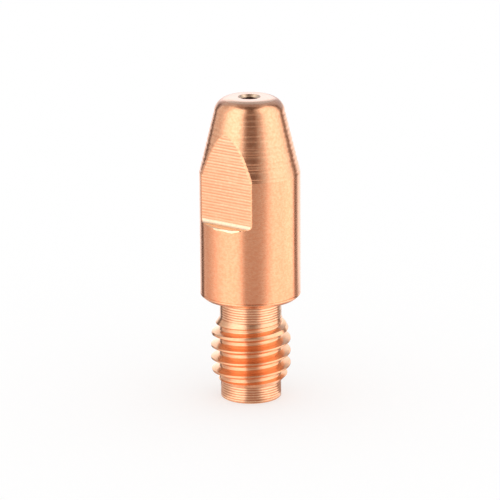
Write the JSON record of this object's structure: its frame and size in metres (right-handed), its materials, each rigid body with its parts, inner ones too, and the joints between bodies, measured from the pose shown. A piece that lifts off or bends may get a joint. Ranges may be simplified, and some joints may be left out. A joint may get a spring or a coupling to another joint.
{
  "type": "welding contact tip",
  "caption": "Turned copper contact tip for a welding torch: tapered nose, round body with spanner flats, threaded rear end with a pilot, and a wire bore from end to end.",
  "frame": {"origin": "on the axis, in the end face that the tip stands on", "axes": "+Z along the axis from the threaded end to the nose; the spanner flats face +Y and -Y"},
  "size_m": [0.0098, 0.0098, 0.03],
  "materials": {
    "copper": "bare copper, bright from the lathe, with fine feed marks"
  },
  "bodies": {
    "root": {"contact_tip": "copper"}
  },
  "joints": []
}
